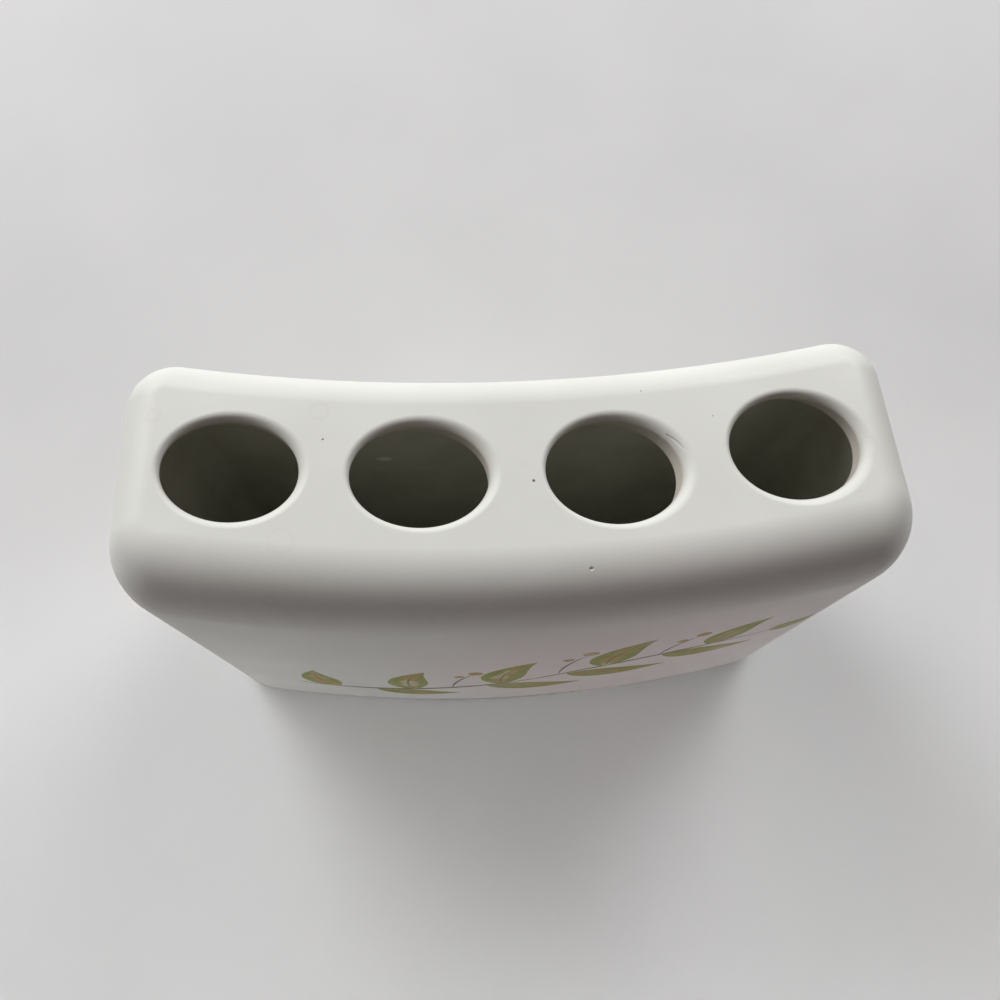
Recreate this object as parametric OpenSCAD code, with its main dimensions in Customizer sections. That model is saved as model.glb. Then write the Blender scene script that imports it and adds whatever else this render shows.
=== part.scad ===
// Glazed ceramic toothbrush holder: a shallow curved box with four oval openings in its deck.
// Millimetres, +Z up and +Y towards the back. The origin lies on the surface that the holder
// stands on, under the middle of its outline.

/* [Body] */
// Width from end to end
body_width = 143; // [125:1:180]
// Depth from the front face to the back face, the same all along the width
body_depth = 47; // [42:0.5:60]
// Height of the ceramic, without the pads
body_height = 92.8; // [60:0.2:130]
// Radius of the curve that both long faces follow
bend_radius = 333; // [250:1:900]
// Radius of the upright corners at the front
front_corner_r = 11; // [9:0.5:15]
// Radius of the upright corners at the back
back_corner_r = 9; // [8.5:0.5:13]
// Radius of the soft shoulder between the deck and the front face
front_shoulder_r = 12; // [3:0.5:12]
// Radius of the soft shoulder between the deck and the other three faces
shoulder_r = 8; // [3:0.5:8]
// Radius of the rounding along the foot
foot_edge_r = 2; // [0.5:0.25:3]

/* [Walls] */
// Thickness of the four upright walls
wall_t = 5; // [3.5:0.25:6]
// Thickness of the deck
deck_t = 4.6; // [4:0.2:9]
// Thickness of the floor, foot rim included
floor_t = 5.5; // [4:0.25:9]
// Radius inside, where the walls meet the floor and the deck
inner_r = 2.5; // [1:0.25:3]
// Height of the top section, from its joint with the walls to the deck
top_section_h = 13; // [13:0.5:25]

/* [Openings] */
// Length of each oval opening, along the row
opening_length = 24.4; // [18:0.2:26]
// Width of each oval opening, from front to back
opening_width = 20; // [15:0.2:24]
// Distance between the centres of the two middle openings
middle_spacing = 34; // [31:0.1:37]
// Distance from a middle opening to the end opening beside it
end_spacing = 33.2; // [31:0.1:35]
// Radius of the curve that the row of openings follows
row_radius = 377; // [250:1:900]
// How far the row lies behind the middle of the depth
row_setback = 2.3; // [0:0.1:4]
// Radius of the rounded rim of each opening
rim_r = 1.6; // [0.6:0.1:2.5]
// How far the throat of an opening widens, on every side, from its rim down to the ceiling
throat_flare = 1.1; // [0:0.1:1.5]

/* [Base] */
// Width of the dry rim that the base keeps all round its recess
foot_rim_w = 4.5; // [3:0.25:8]
// Depth of the recess inside the rim
recess_depth = 0.8; // [0.4:0.1:2]

/* [Pads] */
// Diameter of each bumper pad
pad_d = 9; // [6:0.5:11]
// Thickness of each bumper pad
pad_t = 2; // [1.6:0.1:4]
// Width of the bevel round the lower edge of a pad
pad_bevel = 0.5; // [0.2:0.1:1]
// Distance from the edge of the recess to a pad
pad_gap = 2.5; // [1:0.5:6]

/* [Hidden] */

glaze = [0.86, 0.85, 0.82];
pad_grey = [0.72, 0.72, 0.70];

// Steps along each long face, round each corner, over each edge and round each opening
face_steps = 24;
corner_steps = 8;
shoulder_steps = 12;
edge_steps = 4;
oval_steps = 48;
pad_steps = 64;

// A corner never gets sharper than this share of its own radius, however deep the inset
least_corner_share = 0.1;
// How far every cut runs past the face that it opens
overrun = 1;

half_width = body_width / 2;
half_depth = body_depth / 2;

// The ends bend back, so the outline is deeper than the body is at its middle
back_corner_reach = sqrt(pow(bend_radius + back_corner_r, 2) - pow(half_width - back_corner_r, 2));
bend_rise = bend_radius + back_corner_r - back_corner_reach;
front_y = -(body_depth + bend_rise) / 2;
back_y = front_y + body_depth;
middle_y = front_y + half_depth;

foot_z = pad_t - recess_depth;
floor_z = foot_z + floor_t;
deck_z = foot_z + body_height;
joint_z = deck_z - top_section_h;
ceiling_z = deck_z - deck_t;

opening_xs = [
    -middle_spacing / 2 - end_spacing, -middle_spacing / 2,
    middle_spacing / 2, middle_spacing / 2 + end_spacing
];

// y of the front and back faces at x, for an outline drawn inset inside the body
function front_y_at(x, inset) = front_y + bend_radius - sqrt(pow(bend_radius - inset, 2) - x * x);
function back_y_at(x, inset) = back_y + bend_radius - sqrt(pow(bend_radius + inset, 2) - x * x);

function corner_r(r, inset) = max(r - inset, r * least_corner_share);
function arc(centre, r, from, to, steps) =
    [for (i = [0:steps]) let (a = from + (to - from) * i / steps) centre + r * [cos(a), sin(a)]];
function mirrored(points) = [for (i = [len(points) - 1:-1:0]) [-points[i].x, points[i].y]];

// Outline seen from above, counter-clockwise from the front middle. It is drawn inset inside the
// ends and the back of the body, and front_inset inside its front.
function right_half(inset, front_inset) =
    let (
        rf = corner_r(front_corner_r, inset),
        rb = corner_r(back_corner_r, inset),
        xf = half_width - inset - rf,
        xb = half_width - inset - rb,
        front_centre = [0, front_y + bend_radius],
        back_centre = [0, back_y + bend_radius],
        swing_f = asin(xf / (bend_radius - front_inset - rf)),
        swing_b = asin(xb / (bend_radius + inset + rb)),
        corner_f = front_centre + (bend_radius - front_inset - rf) * [sin(swing_f), -cos(swing_f)],
        corner_b = back_centre + (bend_radius + inset + rb) * [sin(swing_b), -cos(swing_b)],
        half_steps = face_steps / 2
    )
    concat(
        [for (i = [0:half_steps - 1]) let (a = swing_f * i / half_steps)
            front_centre + (bend_radius - front_inset) * [sin(a), -cos(a)]],
        arc(corner_f, rf, swing_f - 90, 0, corner_steps),
        arc(corner_b, rb, 0, swing_b + 90, corner_steps),
        [for (i = [half_steps - 1:-1:0]) let (a = swing_b * i / half_steps)
            back_centre + (bend_radius + inset) * [sin(a), -cos(a)]]
    );
// Both halves share the two points on the middle line, so the left half leaves them out
function outline(inset, front_inset) =
    let (right = right_half(inset, front_inset), last = len(right) - 1)
    concat(right, mirrored([for (i = [1:last - 1]) right[i]]));

// Outline of an opening at x along the row, grown outwards by its flare
function row_y_at(x) = middle_y + row_setback + row_radius - sqrt(row_radius * row_radius - x * x);
function oval(x, flare) =
    let (turn = asin(x / row_radius))
    [for (i = [0:oval_steps - 1])
        let (
            a = 360 * i / oval_steps,
            u = (opening_length / 2 + flare) * cos(a),
            v = (opening_width / 2 + flare) * sin(a)
        )
        [x + u * cos(turn) - v * sin(turn), row_y_at(x) + u * sin(turn) + v * cos(turn)]];

// Skin over a stack of outlines that all have the same number of points
module loft(outlines, heights) {
    count = len(outlines[0]);
    levels = len(heights);
    vertices = [for (k = [0:levels - 1]) for (p = outlines[k]) [p.x, p.y, heights[k]]];
    sides = [
        for (k = [0:levels - 2]) for (i = [0:count - 1])
            let (a = k * count + i, b = k * count + (i + 1) % count)
            each [[a, a + count, b], [b, a + count, b + count]]
    ];
    bottom = [for (i = [0:count - 1]) i];
    top = [for (i = [count - 1:-1:0]) (levels - 1) * count + i];
    polyhedron(points = vertices, faces = concat([bottom, top], sides));
}

// Skin over the body's own outline, from a list of [inset, height], or of
// [inset, height, front inset] where the front is drawn in by another amount
module stack(rings) {
    loft([for (r = rings) outline(r[0], len(r) == 3 ? r[2] : r[0])], [for (r = rings) r[1]]);
}

// Quarter-round edge as a list of [distance in from the face, distance off the flat]
function edge(r, steps) =
    [for (i = [0:steps]) let (a = 90 * i / steps) [r * (1 - sin(a)), r * (1 - cos(a))]];
function reversed(list) = [for (i = [len(list) - 1:-1:0]) list[i]];
// How far a rounded edge has come in from its face, so far below the flat
function round_inset(r, drop) = drop < r ? r - sqrt(r * r - pow(r - drop, 2)) : 0;

// One oval opening through the deck: rounded at the rim, and wider again down its throat
module opening(x) {
    rim = edge(rim_r, edge_steps);
    flares = concat([throat_flare, throat_flare], [for (e = rim) e[1]], [rim_r]);
    heights = concat(
        [ceiling_z - inner_r - overrun, ceiling_z],
        [for (e = rim) deck_z - e[0]],
        [deck_z + overrun]
    );
    loft([for (f = flares) oval(x, f)], heights);
}

// Top section of the casting: the deck with its four openings, and the shoulder round it
module deck() {
    reach = max(front_shoulder_r, shoulder_r);
    shoulder = [for (e = reversed(edge(reach, shoulder_steps)))
        [round_inset(shoulder_r, e[1]), deck_z - e[1], round_inset(front_shoulder_r, e[1])]];
    ceiling = [for (e = reversed(edge(inner_r, edge_steps))) [wall_t + e[0], ceiling_z - e[1]]];
    color(glaze) difference() {
        stack(concat([[0, joint_z]], shoulder));
        stack(concat([[wall_t, joint_z - overrun]], ceiling));
        for (x = opening_xs) opening(x);
    }
}

// Wall section: front, back and both ends in one ring, rounded inside where it meets the floor
module walls() {
    fillet = [for (e = edge(inner_r, edge_steps)) [wall_t + e[0], floor_z + e[1]]];
    color(glaze) difference() {
        stack([[0, floor_z], [0, joint_z]]);
        stack(concat([[wall_t + inner_r, floor_z - overrun]], fillet, [[wall_t, joint_z + overrun]]));
    }
}

// Base section: the floor of the hollow, over a shallow recess that leaves a dry rim to stand on
module base() {
    foot = [for (e = edge(foot_edge_r, edge_steps)) [e[0], foot_z + e[1]]];
    color(glaze) difference() {
        stack(concat(foot, [[0, floor_z]]));
        stack([[foot_rim_w, foot_z - overrun], [foot_rim_w, foot_z + recess_depth]]);
    }
}

// A bumper pad, pressed onto the roof of the recess
module pad(side, at_back) {
    inset = foot_rim_w + pad_gap + pad_d / 2;
    x = side * (half_width - inset);
    y = at_back ? back_y_at(x, inset) : front_y_at(x, inset);
    color(pad_grey) translate([x, y, 0]) {
        cylinder(h = pad_bevel, d1 = pad_d - 2 * pad_bevel, d2 = pad_d, $fn = pad_steps);
        translate([0, 0, pad_bevel]) cylinder(h = pad_t - pad_bevel, d = pad_d, $fn = pad_steps);
    }
}

deck();
walls();
base();
pad(-1, false);  // pad_front_left
pad(1, false);  // pad_front_right
pad(-1, true);  // pad_back_left
pad(1, true);  // pad_back_right
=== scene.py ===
import math

import bpy
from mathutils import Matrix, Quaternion, Vector


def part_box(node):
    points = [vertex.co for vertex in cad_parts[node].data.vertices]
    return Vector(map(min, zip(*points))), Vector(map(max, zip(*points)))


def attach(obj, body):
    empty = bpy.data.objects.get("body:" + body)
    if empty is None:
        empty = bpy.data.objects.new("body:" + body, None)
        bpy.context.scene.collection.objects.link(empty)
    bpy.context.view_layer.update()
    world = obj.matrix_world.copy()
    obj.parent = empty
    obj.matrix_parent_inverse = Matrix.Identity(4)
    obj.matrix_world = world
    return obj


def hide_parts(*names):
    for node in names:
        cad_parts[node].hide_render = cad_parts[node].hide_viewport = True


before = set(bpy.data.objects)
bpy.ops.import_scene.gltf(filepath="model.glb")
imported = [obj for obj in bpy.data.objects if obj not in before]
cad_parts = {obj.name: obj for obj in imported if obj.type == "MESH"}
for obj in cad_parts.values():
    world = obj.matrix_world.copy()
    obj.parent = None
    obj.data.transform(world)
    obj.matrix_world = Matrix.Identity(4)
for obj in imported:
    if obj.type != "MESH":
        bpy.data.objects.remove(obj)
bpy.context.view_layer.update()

# Plan of the mould
# Seen from above the holder is a shallow bow: both long faces follow one radius, the ends
# stay parallel, and the four upright corners are rounded. Every solid block keeps to it.
walls_low, walls_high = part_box("walls")
half_width = walls_high.x
front_y = walls_low.y
body_depth = 0.047
bend_radius = 0.333
front_corner = 0.011
back_corner = 0.009
least_corner_share = 0.1
face_steps = 24
corner_steps = 12
# Points and heights nearer to each other than this count as one
joined = 1e-6


def plan_ring(inset, level, front_inset):
    """Draws the right half of the plan at one height, drawn in by an inset from each face."""
    corner_f = max(front_corner - inset, front_corner * least_corner_share)
    corner_b = max(back_corner - inset, back_corner * least_corner_share)
    radius_f = bend_radius - front_inset - corner_f
    radius_b = bend_radius + inset + corner_b
    swing_f = math.asin((half_width - inset - corner_f) / radius_f)
    swing_b = math.asin((half_width - inset - corner_b) / radius_b)
    front_centre = Vector((0, front_y + bend_radius, level))
    back_centre = front_centre + Vector((0, body_depth, 0))
    corner_centre_f = front_centre + radius_f * Vector((math.sin(swing_f), -math.cos(swing_f), 0))
    corner_centre_b = back_centre + radius_b * Vector((math.sin(swing_b), -math.cos(swing_b), 0))
    end_run = (0, corner_centre_b.y - corner_centre_f.y, 0)
    upright = (0, 0, -1)

    bpy.ops.mesh.select_all(action="DESELECT")
    bpy.ops.mesh.primitive_plane_add(size=corner_f, location=(0, front_y + front_inset, level))
    bpy.ops.mesh.merge(type="CENTER")
    turn_f, turn_b = math.pi / 2 - swing_f, math.pi / 2 + swing_b
    bpy.ops.mesh.spin(steps=face_steps, angle=swing_f, center=front_centre, axis=upright)
    bpy.ops.mesh.spin(steps=corner_steps, angle=turn_f, center=corner_centre_f, axis=upright)
    bpy.ops.mesh.extrude_region_move(TRANSFORM_OT_translate={"value": end_run})
    bpy.ops.mesh.spin(steps=corner_steps, angle=turn_b, center=corner_centre_b, axis=upright)
    bpy.ops.mesh.spin(steps=face_steps, angle=-swing_b, center=back_centre, axis=upright)


def select_level(piece, *levels):
    """Selects the edges of a piece that run level at any of the heights, in edit mode."""
    bpy.ops.mesh.select_mode(type="EDGE")
    bpy.ops.mesh.select_all(action="DESELECT")
    bpy.ops.object.mode_set(mode="OBJECT")
    corners = piece.data.vertices
    for edge in piece.data.edges:
        heights = [corners[i].co.z for i in edge.vertices]
        edge.select = any(
            max(abs(height - level) for height in heights) < joined for level in levels
        )
    bpy.ops.object.mode_set(mode="EDIT")


def plan_block(name, rings):
    """A solid block over rings of the plan, each given as inset, height and front inset."""
    bpy.ops.object.select_all(action="DESELECT")
    block = bpy.data.objects.new(name, bpy.data.meshes.new(name))
    bpy.context.scene.collection.objects.link(block)
    block.select_set(True)
    bpy.context.view_layer.objects.active = block
    bpy.ops.object.mode_set(mode="EDIT")
    bpy.ops.mesh.select_mode(type="VERT")
    for ring in rings:
        plan_ring(*ring)
    bpy.ops.object.mode_set(mode="OBJECT")
    mirror = block.modifiers.new("other_half", "MIRROR")
    mirror.merge_threshold = joined
    bpy.ops.object.modifier_apply(modifier=mirror.name)
    bpy.ops.object.mode_set(mode="EDIT")
    levels = [ring[1] for ring in rings]
    for below, above in zip(levels, levels[1:]):
        select_level(block, below, above)
        bpy.ops.mesh.bridge_edge_loops()
    for level in (levels[0], levels[-1]):
        select_level(block, level)
        bpy.ops.mesh.edge_face_add()
    bpy.ops.mesh.select_all(action="SELECT")
    bpy.ops.mesh.normals_make_consistent(inside=False)
    bpy.ops.object.mode_set(mode="OBJECT")
    return block


# Glaze and slip
# The outside carries a satin cream-white glaze. Inside the hollow there is only a thin,
# greyer wash of it, and the rim of the foot, on which it stood in the kiln, is bare clay.
def add_node(tree, kind, inputs, **settings):
    """Adds a node to a tree. Each input takes a value, or the output of another node."""
    made = tree.nodes.new("ShaderNode" + kind)
    for setting, value in settings.items():
        setattr(made, setting, value)
    for name, value in inputs.items():
        if isinstance(value, bpy.types.NodeSocket):
            tree.links.new(value, made.inputs[name])
        else:
            made.inputs[name].default_value = value
    return made


def new_effect(name, output, **inputs):
    """An empty effect group with one output, and number inputs with their usual values."""
    group = bpy.data.node_groups.new(name, "ShaderNodeTree")
    for label, value in inputs.items():
        socket = group.interface.new_socket(label, in_out="INPUT", socket_type="NodeSocketFloat")
        socket.default_value = value
    group.interface.new_socket(output, in_out="OUTPUT", socket_type="NodeSocketFloat")
    place = group.nodes.new("ShaderNodeTexCoord").outputs["Object"]
    given = group.nodes.new("NodeGroupInput").outputs
    result = group.nodes.new("NodeGroupOutput").inputs
    return group, place, given, result


def cloud_effect():
    """Soft patches where the glaze pooled a little thicker."""
    group, place, given, result = new_effect(
        "glaze_clouds", "Mask", Scale=40, Detail=3, Low=0.35, High=0.65,
    )
    noise = add_node(group, "TexNoise", {
        "Vector": place, "Scale": given["Scale"], "Detail": given["Detail"],
    })
    spread = add_node(group, "MapRange", {
        "Value": noise.outputs["Fac"], "From Min": given["Low"], "From Max": given["High"],
    }, interpolation_type="SMOOTHSTEP")
    group.links.new(spread.outputs["Result"], result["Mask"])
    return group


def in_some_cells(group, cells, channel, share, mask):
    """Keeps a mask in a share of all cells, picked by a channel of the cells' own colours."""
    luck = add_node(group, "SeparateColor", {"Color": cells.outputs["Color"]}).outputs[channel]
    chosen = add_node(group, "Math", {0: share, 1: luck}, operation="GREATER_THAN").outputs[0]
    return add_node(group, "Math", {0: mask, 1: chosen}, operation="MULTIPLY").outputs[0]


def speck_effect():
    """Tiny specks of iron, in a few of many cells."""
    group, place, given, result = new_effect(
        "iron_specks", "Mask", Scale=130, Size=0.03, Share=0.08,
    )
    cells = add_node(group, "TexVoronoi", {"Vector": place, "Scale": given["Scale"]})
    speck = add_node(group, "Math", {
        0: given["Size"], 1: cells.outputs["Distance"],
    }, operation="GREATER_THAN").outputs[0]
    mask = in_some_cells(group, cells, "Red", given["Share"], speck)
    group.links.new(mask, result["Mask"])
    return group


def ring_effect():
    """Faint closed rings that burst bubbles leave in a glaze."""
    group, place, given, result = new_effect(
        "bubble_rings", "Mask", Scale=85, Radius=0.2, Width=0.03, Share=0.16,
    )
    cells = add_node(group, "TexVoronoi", {
        "Vector": place, "Scale": given["Scale"], "Randomness": 0.8,
    })
    away = add_node(group, "Math", {
        0: cells.outputs["Distance"], 1: given["Radius"],
    }, operation="SUBTRACT")
    gap = add_node(group, "Math", {0: away.outputs[0]}, operation="ABSOLUTE")
    ring = add_node(group, "MapRange", {
        "Value": gap.outputs[0], "From Min": given["Width"], "From Max": 0.0,
    }, interpolation_type="SMOOTHSTEP").outputs["Result"]
    mask = in_some_cells(group, cells, "Green", given["Share"], ring)
    group.links.new(mask, result["Mask"])
    return group


def ripple_effect():
    """The faint waviness of a fired surface, broad swells with a fine grain on them."""
    group, place, given, result = new_effect(
        "fired_ripple", "Height", Scale=70, Grain=900, Grain_share=0.15,
    )
    swell = add_node(group, "TexNoise", {"Vector": place, "Scale": given["Scale"], "Detail": 1.0})
    grain = add_node(group, "TexNoise", {"Vector": place, "Scale": given["Grain"], "Detail": 2.0})
    both = add_node(group, "Math", {
        0: grain.outputs["Fac"], 1: given["Grain_share"], 2: swell.outputs["Fac"],
    }, operation="MULTIPLY_ADD")
    group.links.new(both.outputs[0], result["Height"])
    return group


clouds = cloud_effect()
specks = speck_effect()
bubble_rings = ring_effect()
ripple = ripple_effect()


def use_effect(tree, group, **values):
    """Puts an effect into a material with its own values, and gives back what it puts out."""
    made = tree.nodes.new("ShaderNodeGroup")
    made.node_tree = group
    for name, value in values.items():
        made.inputs[name].default_value = value
    return made.outputs[0]


def blend(tree, mask, under, over):
    """The colour under a mask, going over to the other where the mask is 1."""
    values = {"Factor": mask, 6: under, 7: over}
    for slot, colour in ((6, under), (7, over)):
        if not isinstance(colour, bpy.types.NodeSocket):
            values[slot] = (*colour, 1)
    return add_node(tree, "Mix", values, data_type="RGBA").outputs[2]


def span(tree, value, low, high):
    """A value from 0 to 1 brought to the range from low to high."""
    spread = add_node(tree, "MapRange", {"Value": value, "To Min": low, "To Max": high})
    return spread.outputs["Result"]


def new_material(name):
    """A new material: its node tree and its shader."""
    made = bpy.data.materials.new(name)
    made.use_nodes = True
    return made, made.node_tree, made.node_tree.nodes["Principled BSDF"]


def finish_surface(tree, shader, colour, roughness, height, strength, distance):
    """Joins a colour, a roughness and a relief to a shader."""
    tree.links.new(colour, shader.inputs["Base Color"])
    tree.links.new(roughness, shader.inputs["Roughness"])
    relief = add_node(tree, "Bump", {"Height": height, "Strength": strength, "Distance": distance})
    tree.links.new(relief.outputs["Normal"], shader.inputs["Normal"])


def mark_at(tree, place, radius):
    """A mask of one round mark at a place, soft from half its radius outwards."""
    here = tree.nodes.new("ShaderNodeTexCoord").outputs["Object"]
    away = add_node(tree, "VectorMath", {0: here, 1: place}, operation="DISTANCE")
    return add_node(tree, "MapRange", {
        "Value": away.outputs["Value"], "From Min": radius, "From Max": radius / 2,
    }, interpolation_type="SMOOTHSTEP").outputs["Result"]


glaze_colour = (0.805, 0.822, 0.779)
pooled_colour = (0.775, 0.790, 0.741)
speck_colour = (0.15, 0.13, 0.11)
ring_colour = (0.64, 0.63, 0.58)
deck_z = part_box("deck")[1].z
# Besides the scattered specks, four on the deck have a place and a radius of their own
deck_specks = (
    ((0.0025, -0.0026, deck_z), 0.00034),
    ((-0.0340, 0.0070, deck_z), 0.00024),
    ((0.0234, 0.0143, deck_z), 0.00017),
    ((0.0358, 0.0086, deck_z), 0.00014),
)


def glazed_colour(tree):
    """The colour of the glaze, with its pooled patches, bubble rings and specks."""
    ring_mask = span(tree, use_effect(tree, bubble_rings), low=0, high=0.16)
    speck_mask = span(tree, use_effect(tree, specks), low=0, high=0.6)
    colour = blend(tree, use_effect(tree, clouds), glaze_colour, pooled_colour)
    colour = blend(tree, ring_mask, colour, ring_colour)
    colour = blend(tree, speck_mask, colour, speck_colour)
    for place, radius in deck_specks:
        colour = blend(tree, mark_at(tree, place, radius), colour, speck_colour)
    return colour


satin_roughness = (0.36, 0.46)
thin_roughness = (0.38, 0.48)
glaze_shine = 0.2


def satin_surface(tree, shader, colour, roughness_range):
    """Gives a shader a colour, with the soft gloss and the ripple of the glaze."""
    roughness = span(tree, use_effect(tree, clouds, Scale=90), *roughness_range)
    finish_surface(
        tree, shader, colour, roughness, use_effect(tree, ripple), strength=0.12, distance=0.0006,
    )
    shader.inputs["Specular IOR Level"].default_value = glaze_shine


# A faint pink tint lies on the front, right of its middle. It is a soft ball of colour whose
# centre stands before the wall, so that it fades out over the face.
blush_colour = (0.805, 0.735, 0.715)
blush_radius = 0.075
blush_standoff = 0.030
blush_place = Vector((0.030, front_y - blush_standoff, 0.040))


def glaze_material():
    """Satin cream-white glaze, with the pink tint on the front."""
    made, tree, shader = new_material("satin_glaze")
    blush = mark_at(tree, blush_place, blush_radius)
    colour = blend(tree, blush, glazed_colour(tree), blush_colour)
    satin_surface(tree, shader, colour, satin_roughness)
    return made


# Down a throat the glaze turns thin and warm, with painted shade, between these depths below the
# deck
thin_glaze_and_shade_colour = (0.60, 0.565, 0.50)
throat_start = 0.0004
throat_end = 0.0022


def rim_material():
    """The same glaze where it runs thin down the throat of an opening, darker there with painted
    shade.
    """
    made, tree, shader = new_material("thin_rim_glaze_and_painted_shade")
    height = add_node(tree, "SeparateXYZ", {
        "Vector": tree.nodes.new("ShaderNodeTexCoord").outputs["Object"],
    }).outputs["Z"]
    thin_and_shaded = add_node(tree, "MapRange", {
        "Value": height, "From Min": deck_z - throat_start, "From Max": deck_z - throat_end,
    }, interpolation_type="SMOOTHSTEP").outputs["Result"]
    # Thin glaze and painted shade: darker and warmer further down the throat
    colour = blend(tree, thin_and_shaded, glazed_colour(tree), thin_glaze_and_shade_colour)
    satin_surface(tree, shader, colour, thin_roughness)
    return made


wash_colour = (0.65, 0.65, 0.57)
thick_wash_colour = (0.57, 0.57, 0.49)


def wash_material():
    """Thin grey-green wash inside the hollow."""
    made, tree, shader = new_material("inner_wash")
    colour = blend(tree, use_effect(tree, clouds, Scale=60), wash_colour, thick_wash_colour)
    roughness = span(tree, use_effect(tree, clouds, Scale=120), low=0.45, high=0.6)
    height = use_effect(tree, ripple, Scale=45, Grain=500, Grain_share=0.3)
    finish_surface(tree, shader, colour, roughness, height, strength=0.2, distance=0.0008)
    return made


clay_colour = (0.66, 0.60, 0.50)
clay_shade = (0.58, 0.52, 0.43)
grog_colour = (0.40, 0.33, 0.26)


def clay_material():
    """Bare fired clay, buff and dry, with fine grog in it."""
    made, tree, shader = new_material("bare_clay")
    grog = use_effect(tree, specks, Scale=900, Size=0.25, Share=0.3)
    colour = blend(tree, use_effect(tree, clouds, Scale=220), clay_colour, clay_shade)
    colour = blend(tree, grog, colour, grog_colour)
    roughness = span(tree, use_effect(tree, clouds, Scale=400), low=0.85, high=0.95)
    height = use_effect(tree, ripple, Scale=600, Grain=2500, Grain_share=0.6)
    finish_surface(tree, shader, colour, roughness, height, strength=0.4, distance=0.0002)
    return made


glaze = glaze_material()
rim_glaze = rim_material()
wash = wash_material()
bisque = clay_material()

# Casting
# One slip-cast body: a solid block with a soft shoulder and foot, a hollow inside with walls
# of 5 mm, and four oval openings with rounded rims in the deck.
floor_z = walls_low.z
foot_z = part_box("base")[0].z
front_shoulder = 0.012
side_shoulder = 0.008
shoulder_steps = 24
foot_radius = 0.002
foot_steps = 6


def quarter_round(radius, steps):
    """A rounded edge, as steps that lie so far in from the face and so far off the flat."""
    turns = [math.pi / 2 * step / steps for step in range(steps + 1)]
    return [(radius * (1 - math.sin(turn)), radius * (1 - math.cos(turn))) for turn in turns]


def cut(piece, tool):
    """Takes the tool's shape out of the piece, and the tool's finish goes on the new faces."""
    bpy.ops.object.select_all(action="DESELECT")
    piece.select_set(True)
    bpy.context.view_layer.objects.active = piece
    carve = piece.modifiers.new("carve", "BOOLEAN")
    carve.operation = "DIFFERENCE"
    carve.solver = "EXACT"
    carve.material_mode = "TRANSFER"
    carve.object = tool
    bpy.ops.object.modifier_apply(modifier=carve.name)
    bpy.data.objects.remove(tool)


def finish_with(piece, *materials):
    """Gives a piece its finishes in place of any that it has."""
    piece.data.materials.clear()
    for material in materials:
        piece.data.materials.append(material)


def round_inset(radius, drop):
    """How far a rounded edge has come in from its face, so far below the flat."""
    return radius - math.sqrt(radius ** 2 - (radius - drop) ** 2) if drop < radius else 0


foot_round = quarter_round(foot_radius, foot_steps)
casting_rings = [(inset, foot_z + rise, inset) for inset, rise in foot_round]
for _, drop in reversed(quarter_round(front_shoulder, shoulder_steps)):
    inset, front_inset = round_inset(side_shoulder, drop), round_inset(front_shoulder, drop)
    casting_rings.append((inset, deck_z - drop, front_inset))
casting = plan_block("casting", casting_rings)
finish_with(casting, glaze)

wall = 0.005
deck_thickness = 0.0046
inner_radius = 0.0025
inner_steps = 6
ceiling_z = deck_z - deck_thickness
inner_round = quarter_round(inner_radius, inner_steps)
hollow_rings = [(wall + inset, floor_z + rise, wall + inset) for inset, rise in inner_round]
for inset, drop in reversed(inner_round):
    hollow_rings.append((wall + inset, ceiling_z - drop, wall + inset))
hollow = plan_block("hollow", hollow_rings)
finish_with(hollow, wash)
cut(casting, hollow)

middle_spacing = 0.034
end_spacing = 0.0332
row_radius = 0.377
row_setback = 0.0023
rim_radius = 0.0016
rim_steps = 10
throat_flare = 0.0011
rim_points = 96
# How far every cut runs past the face that it opens
overrun = 0.001


def opening_tool(place, length, width, drift, lean, turn):
    """The shape of one opening: rounded at its rim, and wider again down its throat."""
    along = math.asin(place / row_radius)
    row_y = front_y + body_depth / 2 + row_setback + row_radius * (1 - math.cos(along))
    ovals = [(ceiling_z - inner_radius - overrun, throat_flare), (ceiling_z, throat_flare)]
    for drop, flare in quarter_round(rim_radius, rim_steps):
        ovals.append((deck_z - drop, flare))
    ovals.append((deck_z + overrun, rim_radius))

    bpy.ops.object.select_all(action="DESELECT")
    bpy.ops.mesh.primitive_circle_add(vertices=rim_points, radius=1, fill_type="NGON")
    tool = bpy.context.object
    tool.name = "opening"
    bpy.ops.object.mode_set(mode="EDIT")
    bpy.ops.mesh.select_mode(type="VERT")
    bpy.ops.mesh.select_all(action="SELECT")
    size = Vector((1, 1, 1))
    centre = Vector((0, 0, 0))
    for number, (level, flare) in enumerate(ovals):
        depth_share = (deck_z - level) / deck_thickness
        next_size = Vector((length / 2 + flare, width / 2 + flare, 1))
        next_centre = Vector((lean[0] * depth_share, lean[1] * depth_share, level))
        if number:
            bpy.ops.mesh.extrude_region_move()
        bpy.ops.transform.translate(value=next_centre - centre)
        growth = [new / old for new, old in zip(next_size, size)]
        bpy.ops.transform.resize(value=growth, center_override=next_centre)
        size, centre = next_size, next_centre
    bpy.ops.mesh.select_all(action="SELECT")
    bpy.ops.mesh.normals_make_consistent(inside=False)
    bpy.ops.object.mode_set(mode="OBJECT")
    tool.rotation_euler.z = along + turn
    tool.location = (place + drift[0], row_y + drift[1], 0)
    bpy.ops.object.transform_apply(location=True, rotation=True, scale=True)
    finish_with(tool, rim_glaze)
    return tool


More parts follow.
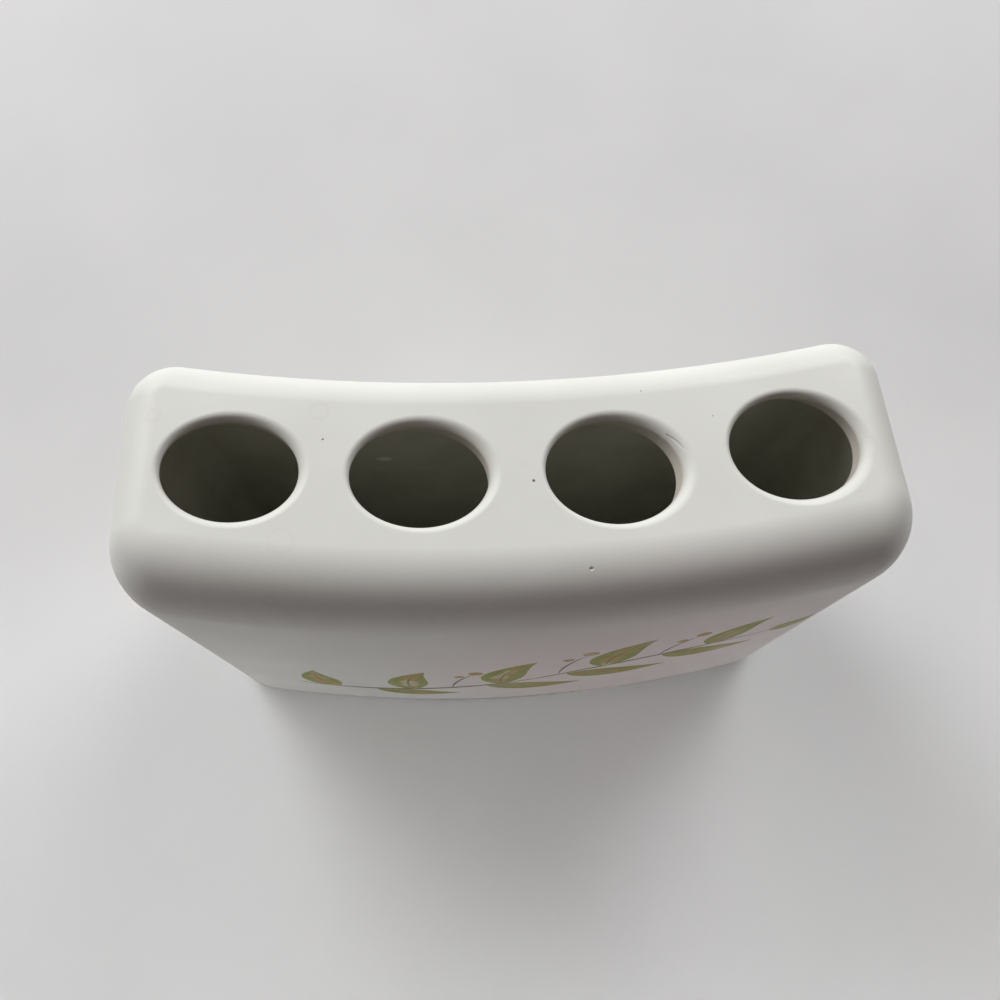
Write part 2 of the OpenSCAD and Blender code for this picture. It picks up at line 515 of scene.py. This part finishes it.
# Each opening was cleaned up by hand while the clay was soft, so no two are quite alike:
# place along the row, length, width, drift, lean of the throat on its way down, and turn in
# degrees.
opening_trims = (
    (-middle_spacing / 2 - end_spacing, 0.0242, 0.0191, (0.0005, -0.00055), (-0.0018, -0.0002), -4),
    (-middle_spacing / 2, 0.0246, 0.0194, (0.0003, 0.00005), (-0.0019, -0.0005), -2),
    (middle_spacing / 2, 0.0246, 0.0200, (0.0007, -0.00065), (-0.0024, -0.0002), -4),
    (middle_spacing / 2 + end_spacing, 0.0241, 0.0203, (0.0003, -0.0007), (-0.0013, 0.0009), -3),
)
for place, length, width, drift, lean, turn in opening_trims:
    cut(casting, opening_tool(place, length, width, drift, lean, math.radians(turn)))

# A tool nicked the rim of the third opening, and a bubble left a pinhole on the shoulder
nick_start = Vector((0.0270, 0.0058, 0.09325))
nick_end = Vector((0.0299, 0.0022, 0.09365))
nick_size = Vector((0.0024, 0.00045, 0.00022))
pinhole_place = (0.0111, -0.0187, 0.09315)
pinhole_size = Vector((0.00045, 0.00035, 0.00030))


def dent_tool(place, heading, size):
    """A round-ended shape of half-lengths in its size, which leaves a dent when cut away."""
    bpy.ops.object.select_all(action="DESELECT")
    bpy.ops.mesh.primitive_uv_sphere_add(segments=24, ring_count=12, radius=1)
    tool = bpy.context.object
    tool.scale = size
    tool.rotation_mode = "QUATERNION"
    tool.rotation_quaternion = heading.to_track_quat("X", "Z")
    tool.location = place
    bpy.ops.object.transform_apply(location=True, rotation=True, scale=True)
    finish_with(tool, glaze)
    return tool


along_width = Vector((1, 0, 0))
cut(casting, dent_tool((nick_start + nick_end) / 2, nick_end - nick_start, nick_size))
cut(casting, dent_tool(pinhole_place, along_width, pinhole_size))

# A shallow recess leaves a rim round the foot to stand on
foot_rim = 0.0045
recess_depth = 0.0008
recess_levels = (foot_z - overrun, foot_z + recess_depth)
recess = plan_block("recess", [(foot_rim, level, foot_rim) for level in recess_levels])
finish_with(recess, glaze)
cut(casting, recess)

# The glaze is wiped off the foot rim, so that it doesn't stick in the kiln
casting.data.materials.append(bisque)
for face in casting.data.polygons:
    if abs(face.center.z - foot_z) < joined:
        face.material_index = len(casting.data.materials) - 1


# Sections of the casting
# The body is parted level with the top of the walls, and a hair above the floor of the
# hollow, so that the whole floor stays on the base. Under the glaze the joints do not show.
joint_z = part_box("deck")[0].z
hair = 0.00002
parting_z = floor_z + hair
smooth_angle = math.radians(40)


def section(name, node, low=None, high=None):
    """The part of the casting between two heights, closed where it was cut."""
    piece = casting.copy()
    piece.data = casting.data.copy()
    piece.name = name
    bpy.context.scene.collection.objects.link(piece)
    bpy.ops.object.select_all(action="DESELECT")
    piece.select_set(True)
    bpy.context.view_layer.objects.active = piece
    bpy.ops.object.mode_set(mode="EDIT")
    for height, up in ((low, False), (high, True)):
        if height is not None:
            bpy.ops.mesh.select_all(action="SELECT")
            bpy.ops.mesh.bisect(
                plane_co=(0, 0, height), plane_no=(0, 0, 1), use_fill=True,
                clear_inner=not up, clear_outer=up, threshold=joined,
            )
    bpy.ops.object.mode_set(mode="OBJECT")
    bpy.ops.object.shade_smooth_by_angle(angle=smooth_angle)
    shading = piece.modifiers.new("shading", "WEIGHTED_NORMAL")
    shading.mode = "FACE_AREA"
    shading.keep_sharp = True
    bpy.ops.object.modifier_apply(modifier=shading.name)
    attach(piece, "root")
    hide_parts(node)
    return piece


section("glazed_deck", "deck", low=joint_z)
walls = section("glazed_walls", "walls", low=parting_z, high=joint_z)
section("glazed_base", "base", high=parting_z)
bpy.data.objects.remove(casting)

# Glaze bead
# A drip of glaze that ran down the back wall inside, under the second opening, and set there
# as a small raised bead.
bead_place = (-0.02616, 0.01664, 0.06455)
bead_size = (0.0018, 0.0006, 0.0007)
# The bead is paler than the wash partly as a painted highlight
bead_colour_and_highlight = (0.88, 0.87, 0.76)
bead_shade = (0.82, 0.81, 0.70)


def bead_material():
    """Thick clear glaze over the wash, glossier than the rest of the inside, and paler with a
    painted highlight.
    """
    made, tree, shader = new_material("glaze_bead")
    colour = blend(tree, use_effect(tree, clouds, Scale=300), bead_colour_and_highlight, bead_shade)
    roughness = span(tree, use_effect(tree, clouds, Scale=500), low=0.18, high=0.26)
    height = use_effect(tree, ripple, Scale=400)
    finish_surface(tree, shader, colour, roughness, height, strength=0.1, distance=0.0001)
    return made


bpy.ops.object.select_all(action="DESELECT")
bpy.ops.mesh.primitive_uv_sphere_add(segments=32, ring_count=16, radius=1)
bead = bpy.context.object
bead.name = "glaze_bead"
bead.scale = bead_size
bead.location = bead_place
bpy.ops.object.transform_apply(location=True, scale=True)
bpy.ops.object.shade_smooth()
finish_with(bead, bead_material())
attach(bead, "root")

# Bumper pads
# Four round pads of soft grey rubber keep the dry foot off the shelf. Each is moulded with a
# rounded lower edge and a small dimple, and is pressed onto the roof of the recess.
pad_radius = 0.0045
pad_sides = 64
pad_edge = 0.0009
pad_edge_steps = 5
pad_seat_edge = 0.0002
pad_seat_steps = 2
dimple_inset = 0.0026
dimple_depth = 0.0003
least_upright = 0.99
rubber_colour = (0.48, 0.48, 0.46)
rubber_shade = (0.40, 0.40, 0.38)
dust_colour = (0.62, 0.60, 0.56)


def rubber_material():
    """Soft pale grey rubber, dusty from the shelf."""
    made, tree, shader = new_material("pad_rubber")
    dust = use_effect(tree, specks, Scale=1200, Size=0.2, Share=0.2)
    colour = blend(tree, use_effect(tree, clouds, Scale=350), rubber_colour, rubber_shade)
    colour = blend(tree, dust, colour, dust_colour)
    roughness = span(tree, use_effect(tree, clouds, Scale=600), low=0.55, high=0.75)
    height = use_effect(tree, ripple, Scale=800, Grain=3000, Grain_share=0.4)
    finish_surface(tree, shader, colour, roughness, height, strength=0.25, distance=0.0001)
    return made


rubber = rubber_material()


def round_level(piece, height, radius, steps):
    """Rounds the edges of a piece that lie at one height."""
    bpy.ops.object.mode_set(mode="EDIT")
    select_level(piece, height)
    bpy.ops.mesh.bevel(offset=radius, segments=steps, affect="EDGES", clamp_overlap=False)
    bpy.ops.object.mode_set(mode="OBJECT")


def select_flat(piece, height):
    """Selects the flat faces of a piece that lie at one height, in edit mode."""
    bpy.ops.object.mode_set(mode="OBJECT")
    for face in piece.data.polygons:
        at_height = abs(face.center.z - height) < joined
        face.select = at_height and abs(face.normal.z) > least_upright
    bpy.ops.object.mode_set(mode="EDIT")


def bumper(node):
    """One bumper pad in the place of its solid."""
    low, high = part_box(node)
    bpy.ops.object.select_all(action="DESELECT")
    bpy.ops.mesh.primitive_cylinder_add(
        vertices=pad_sides, radius=pad_radius, depth=high.z - low.z, location=(low + high) / 2,
    )
    piece = bpy.context.object
    piece.name = node.replace("pad", "bumper", 1)
    bpy.ops.object.transform_apply(location=True)
    round_level(piece, low.z, pad_edge, pad_edge_steps)
    round_level(piece, high.z, pad_seat_edge, pad_seat_steps)
    bpy.ops.object.mode_set(mode="EDIT")
    bpy.ops.mesh.select_mode(type="FACE")
    select_flat(piece, low.z)
    bpy.ops.mesh.inset(thickness=dimple_inset - pad_edge)
    bpy.ops.mesh.inset(thickness=dimple_depth, depth=-dimple_depth)
    bpy.ops.object.mode_set(mode="OBJECT")
    bpy.ops.object.shade_smooth_by_angle(angle=smooth_angle)
    finish_with(piece, rubber)
    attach(piece, "root")
    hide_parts(node)


for pad_name in ("pad_front_left", "pad_front_right", "pad_back_left", "pad_back_right"):
    bumper(pad_name)

# Painted sprig
# A leafy sprig with a few berries is painted low on the front in thin colour over the glaze:
# a dark tapering stem, and leaves of yellow-green that run into ochre and leave pale gaps.
stroke_steps = 28
stroke_rows = 6
berry_sides = 24
# Strokes are drawn flat, this far before the front, and then laid on it
paint_standoff = 0.001
paint_thickness = 0.00003
# Across a stroke, from 0 on its middle line to 0.5 at an edge: where its rim tone begins and
# is full, and how far the clouds shift them
rim_start = 0.17
rim_full = 0.36
rim_wobble = 0.12


def watercolour(name, rim_tone, heart_tone, pale_tone, vein_tone, vein_share):
    """Thin paint: one tone along a stroke's edges, another inside, pale gaps, and a vein."""
    made, tree, shader = new_material(name)
    across = add_node(tree, "SeparateXYZ", {
        "Vector": tree.nodes.new("ShaderNodeTexCoord").outputs["UV"],
    }).outputs["Y"]
    offset = add_node(tree, "Math", {0: across, 1: 0.5}, operation="SUBTRACT")
    side = add_node(tree, "Math", {0: offset.outputs[0]}, operation="ABSOLUTE")
    wobble = add_node(tree, "Math", {
        0: use_effect(tree, clouds, Scale=160), 1: rim_wobble, 2: side.outputs[0],
    }, operation="MULTIPLY_ADD")
    rim = add_node(tree, "MapRange", {
        "Value": wobble.outputs[0], "From Min": rim_start, "From Max": rim_full,
    }, interpolation_type="SMOOTHSTEP").outputs["Result"]
    gap = use_effect(tree, clouds, Scale=110, Low=0.56, High=0.64)
    thinned = span(tree, use_effect(tree, clouds, Scale=420), low=0, high=0.18)
    heart = blend(tree, gap, heart_tone, pale_tone)
    colour = blend(tree, rim, heart, rim_tone)
    colour = blend(tree, thinned, colour, pale_tone)
    vein = add_node(tree, "MapRange", {
        "Value": side.outputs[0], "From Min": vein_share, "From Max": vein_share / 2,
    }).outputs["Result"]
    colour = blend(tree, vein, colour, vein_tone)
    satin_surface(tree, shader, colour, satin_roughness)
    return made


def stroke(start, bow, end, width, fullness):
    """One stroke of the brush, bowed from its start to its end, and pointed at both."""
    bpy.ops.object.select_all(action="DESELECT")
    bpy.ops.mesh.primitive_grid_add(
        x_subdivisions=stroke_steps, y_subdivisions=stroke_rows, size=1,
    )
    painted = bpy.context.object
    start, bow, end = (Vector((x, 0, z)) for x, z in (start, bow, end))
    for corner in painted.data.vertices:
        share, across = corner.co.x + 0.5, corner.co.y
        along = (1 - share) ** 2 * start + 2 * share * (1 - share) * bow + share ** 2 * end
        heading = ((1 - share) * (bow - start) + share * (end - bow)).normalized()
        reach = width * math.sin(math.pi * share ** fullness)
        corner.co = along + heading.cross(Vector((0, 1, 0))) * across * reach
        corner.co.y = front_y - paint_standoff
    bpy.ops.object.mode_set(mode="EDIT")
    bpy.ops.mesh.select_all(action="SELECT")
    bpy.ops.mesh.remove_doubles(threshold=joined)
    bpy.ops.object.mode_set(mode="OBJECT")
    return painted


def berry(place, radius):
    """A round dab of paint."""
    bpy.ops.object.select_all(action="DESELECT")
    bpy.ops.mesh.primitive_circle_add(
        vertices=berry_sides, radius=radius, fill_type="NGON",
        location=(place[0], front_y - paint_standoff, place[1]), rotation=(math.pi / 2, 0, 0),
    )
    return bpy.context.object


def paint_on(name, strokes, paint):
    """Joins strokes to one piece and lays it on the glaze of the front."""
    bpy.ops.object.select_all(action="DESELECT")
    for part in strokes:
        part.select_set(True)
    piece = strokes[0]
    bpy.context.view_layer.objects.active = piece
    bpy.ops.object.join()
    bpy.ops.object.transform_apply(location=True, rotation=True)
    piece.name = name
    laid = piece.modifiers.new("laid", "SHRINKWRAP")
    laid.wrap_method = "PROJECT"
    laid.use_project_y = True
    laid.target = walls
    bpy.ops.object.modifier_apply(modifier=laid.name)
    body = piece.modifiers.new("body", "SOLIDIFY")
    body.thickness = paint_thickness
    body.offset = 1
    bpy.ops.object.modifier_apply(modifier=body.name)
    bpy.ops.object.shade_smooth_by_angle(angle=smooth_angle)
    finish_with(piece, paint)
    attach(piece, "root")


yellow_green = (0.23, 0.26, 0.035)
ochre = (0.41, 0.28, 0.07)
pale_wash = (0.56, 0.53, 0.33)
stem_grey = (0.10, 0.10, 0.09)
leaf_vein = (0.16, 0.16, 0.10)
leaf_paint = watercolour(
    "leaf_watercolour", yellow_green, ochre, pale_wash, leaf_vein, vein_share=0.035,
)
berry_paint = watercolour("berry_watercolour", ochre, ochre, pale_wash, ochre, vein_share=0.01)
stem_paint = watercolour(
    "stem_watercolour", stem_grey, stem_grey, yellow_green, stem_grey, vein_share=0.1,
)

# The stem sweeps up to the right, with three twigs on it. Each stroke is given by its foot,
# the point that it bows towards, its tip, all as x and z on the front, and its width. A lower
# fullness brings its widest place nearer to the foot.
stem_fullness = 0.85
leaf_fullness = 0.72
stem_strokes = (
    ((-0.052, 0.022), (-0.020, 0.014), (0.012, 0.0350), 0.0013),
    ((0.004, 0.0300), (0.028, 0.048), (0.057, 0.0500), 0.0011),
    ((-0.0143, 0.0225), (-0.0140, 0.032), (-0.0090, 0.0400), 0.0006),
    ((0.0105, 0.0342), (0.0100, 0.045), (0.0150, 0.0545), 0.0006),
    ((0.0320, 0.0442), (0.0325, 0.053), (0.0375, 0.0600), 0.0006),
)
leaf_strokes = (
    ((-0.0424, 0.0200), (-0.0475, 0.0290), (-0.0450, 0.0400), 0.0085),
    ((-0.0330, 0.0196), (-0.0240, 0.0135), (-0.0125, 0.0148), 0.0075),
    ((-0.0236, 0.0204), (-0.0270, 0.0320), (-0.0200, 0.0435), 0.0095),
    ((-0.0060, 0.0253), (0.0050, 0.0195), (0.0170, 0.0222), 0.0085),
    ((-0.0025, 0.0268), (-0.0045, 0.0400), (0.0045, 0.0515), 0.0100),
    ((0.0125, 0.0348), (0.0235, 0.0290), (0.0360, 0.0325), 0.0090),
    ((0.0208, 0.0397), (0.0195, 0.0525), (0.0280, 0.0635), 0.0100),
    ((0.0330, 0.0446), (0.0430, 0.0390), (0.0545, 0.0415), 0.0080),
    ((0.0435, 0.0477), (0.0435, 0.0580), (0.0510, 0.0665), 0.0085),
    ((0.0555, 0.0500), (0.0600, 0.0515), (0.0635, 0.0575), 0.0060),
)
# Each berry is given by its place and its radius
berry_dabs = (
    ((-0.0087, 0.0412), 0.0017),
    ((-0.0124, 0.0374), 0.0012),
    ((0.0154, 0.0560), 0.0018),
    ((0.0112, 0.0512), 0.0013),
    ((0.0380, 0.0613), 0.0016),
    ((0.0344, 0.0575), 0.0012),
)
leaves = [stroke(*leaf, leaf_fullness) for leaf in leaf_strokes]
stems = [stroke(*stem, stem_fullness) for stem in stem_strokes]
paint_on("painted_leaves", leaves, leaf_paint)
paint_on("painted_stems", stems, stem_paint)
paint_on("painted_berries", [berry(*dab) for dab in berry_dabs], berry_paint)

# Studio
# A pale satin table, three broad soft windows behind and beside it, a faint warm fill, and a
# narrow strip of light on the front.
table_size = 4
table_colour = (0.675, 0.680, 0.680)
table_shade = (0.655, 0.660, 0.660)
table_shine = 0.15


def table_material():
    """Pale satin table top with a hardly visible cloudiness."""
    made, tree, shader = new_material("table_top")
    colour = blend(tree, use_effect(tree, clouds, Scale=14), table_colour, table_shade)
    roughness = span(tree, use_effect(tree, clouds, Scale=30), low=0.62, high=0.70)
    height = use_effect(tree, ripple, Scale=25)
    finish_surface(tree, shader, colour, roughness, height, strength=0.05, distance=0.001)
    shader.inputs["Specular IOR Level"].default_value = table_shine
    return made


bpy.ops.object.select_all(action="DESELECT")
bpy.ops.mesh.primitive_plane_add(size=table_size)
table = bpy.context.object
table.name = "table"
finish_with(table, table_material())

# Past the table everything is pale, to the eye and in reflections. What lights the holder
# from there is only a faint warm fill, because the lamps do the rest.
surroundings = (0.66, 0.66, 0.65)
fill_colour = (1, 0.58, 0.58)
fill_strength = 0.05
world = bpy.data.worlds.new("studio")
world.use_nodes = True
sky = world.node_tree
fill = sky.nodes["Background"]
fill.inputs["Color"].default_value = (*fill_colour, 1)
fill.inputs["Strength"].default_value = fill_strength
pale = add_node(sky, "Background", {"Color": (*surroundings, 1), "Strength": 1})
ray = sky.nodes.new("ShaderNodeLightPath").outputs
seen = ray["Is Camera Ray"]
for way in ("Is Glossy Ray", "Is Transmission Ray"):
    seen = add_node(sky, "Math", {0: seen, 1: ray[way]}, operation="MAXIMUM").outputs[0]
chosen = add_node(sky, "MixShader", {0: seen, 1: fill.outputs[0], 2: pale.outputs[0]})
sky.links.new(chosen.outputs[0], sky.nodes["World Output"].inputs["Surface"])
bpy.context.scene.world = world

window_distance = 1.7
origin = Vector((0, 0, 0))


def soft_lamp(name, around, height, width, depth, energy, aim=origin, distance=window_distance):
    """A soft lamp turned to its aim, so many degrees round from the back and so many up."""
    shade = bpy.data.lights.new(name, "AREA")
    shade.shape = "RECTANGLE"
    shade.size = width
    shade.size_y = depth
    shade.energy = energy
    lamp = bpy.data.objects.new(name, shade)
    bpy.context.scene.collection.objects.link(lamp)
    turn, rise = math.radians(around), math.radians(height)
    out = Vector((math.sin(turn) * math.cos(rise), math.cos(turn) * math.cos(rise), math.sin(rise)))
    lamp.location = aim + out * distance
    lamp.rotation_euler = (-out).to_track_quat("-Z", "Y").to_euler()
    lamp.visible_camera = False
    return shade


soft_lamp("left_back_window", around=-40, height=38, width=0.8, depth=0.5, energy=18.4)
soft_lamp("right_back_window", around=40, height=38, width=0.8, depth=0.5, energy=14.4)
soft_lamp("left_side_window", around=-75, height=32, width=0.8, depth=0.6, energy=4.4)

# The room in front is dim, and the shoulder there is dark. So the strip lamp in front has a
# grid that keeps its light on the front wall and on the table before it.
strip_aim = Vector((0, -0.088, 0))
strip_distance = 1.0
strip_spread = math.radians(14)
strip = soft_lamp(
    "front_strip", around=180, height=50, width=0.9, depth=0.02, energy=0.18,
    aim=strip_aim, distance=strip_distance,
)
strip.spread = strip_spread

# Camera
# The picture was taken from in front of the holder and about 13 cm over its deck, looking
# down steeply.
camera_place = (-0.01012, -0.05668, 0.22033)
look_down = math.radians(67.96)
yaw = math.radians(7.37)
roll = math.radians(4.32)
camera_data = bpy.data.cameras.new("camera")
camera_data.lens = 28.63
camera_data.sensor_width = 36
camera_data.clip_start = 0.01
camera = bpy.data.objects.new("camera", camera_data)
bpy.context.scene.collection.objects.link(camera)
turned = Quaternion((0, 0, 1), -yaw)
tipped = Quaternion((1, 0, 0), math.pi / 2 - look_down)
rolled = Quaternion((0, 0, 1), roll)
camera.location = camera_place
camera.rotation_mode = "QUATERNION"
camera.rotation_quaternion = turned @ tipped @ rolled
bpy.context.scene.camera = camera

bpy.context.scene.view_settings.view_transform = "Standard"
